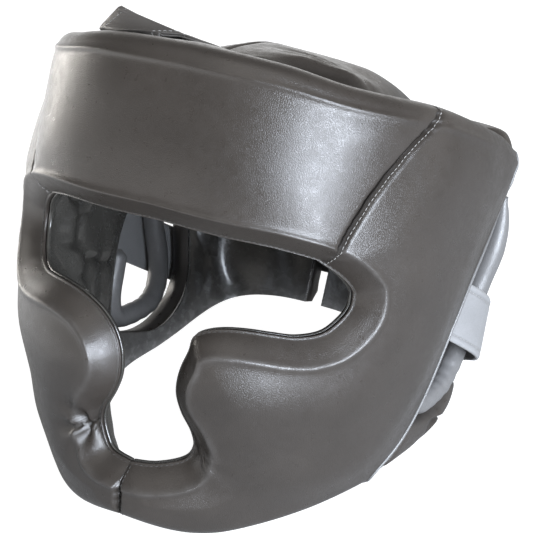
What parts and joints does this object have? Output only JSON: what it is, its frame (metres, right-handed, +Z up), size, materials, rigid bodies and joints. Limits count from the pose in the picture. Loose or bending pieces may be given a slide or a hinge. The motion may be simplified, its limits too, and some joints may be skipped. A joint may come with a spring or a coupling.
{
  "type": "head guard",
  "caption": "Padded leather full-face head guard with a brow pad, cheek and chin pads, open face, ear openings and soft crown flaps.",
  "frame": {"origin": "middle of the bounding box, on the surface that the guard rests on", "axes": "+Z up, the face towards -Y, +X towards the wearer's left; the guard leans back on its lower edge"},
  "size_m": [0.2432, 0.2954, 0.2314],
  "materials": {
    "pad_leather": "satin",
    "lining_leather": "gloss",
    "roll_leather": "satin",
    "strap_leather": "satin"
  },
  "bodies": {
    "root": {"forehead_pad": "pad_leather", "forehead_lining": "lining_leather", "side_pad_left": "pad_leather", "side_pad_right": "pad_leather", "side_lining_left": "lining_leather", "side_lining_right": "lining_leather", "rear_pad_left": "pad_leather", "rear_pad_right": "pad_leather", "rear_lining_left": "lining_leather", "rear_lining_right": "lining_leather", "ear_roll_left": "roll_leather", "ear_roll_right": "roll_leather", "ear_strap_left": "strap_leather", "ear_strap_right": "strap_leather", "back_strap": "strap_leather", "crown_pad_left": "pad_leather", "crown_pad_right": "pad_leather", "crown_strap": "strap_leather"}
  },
  "joints": []
}
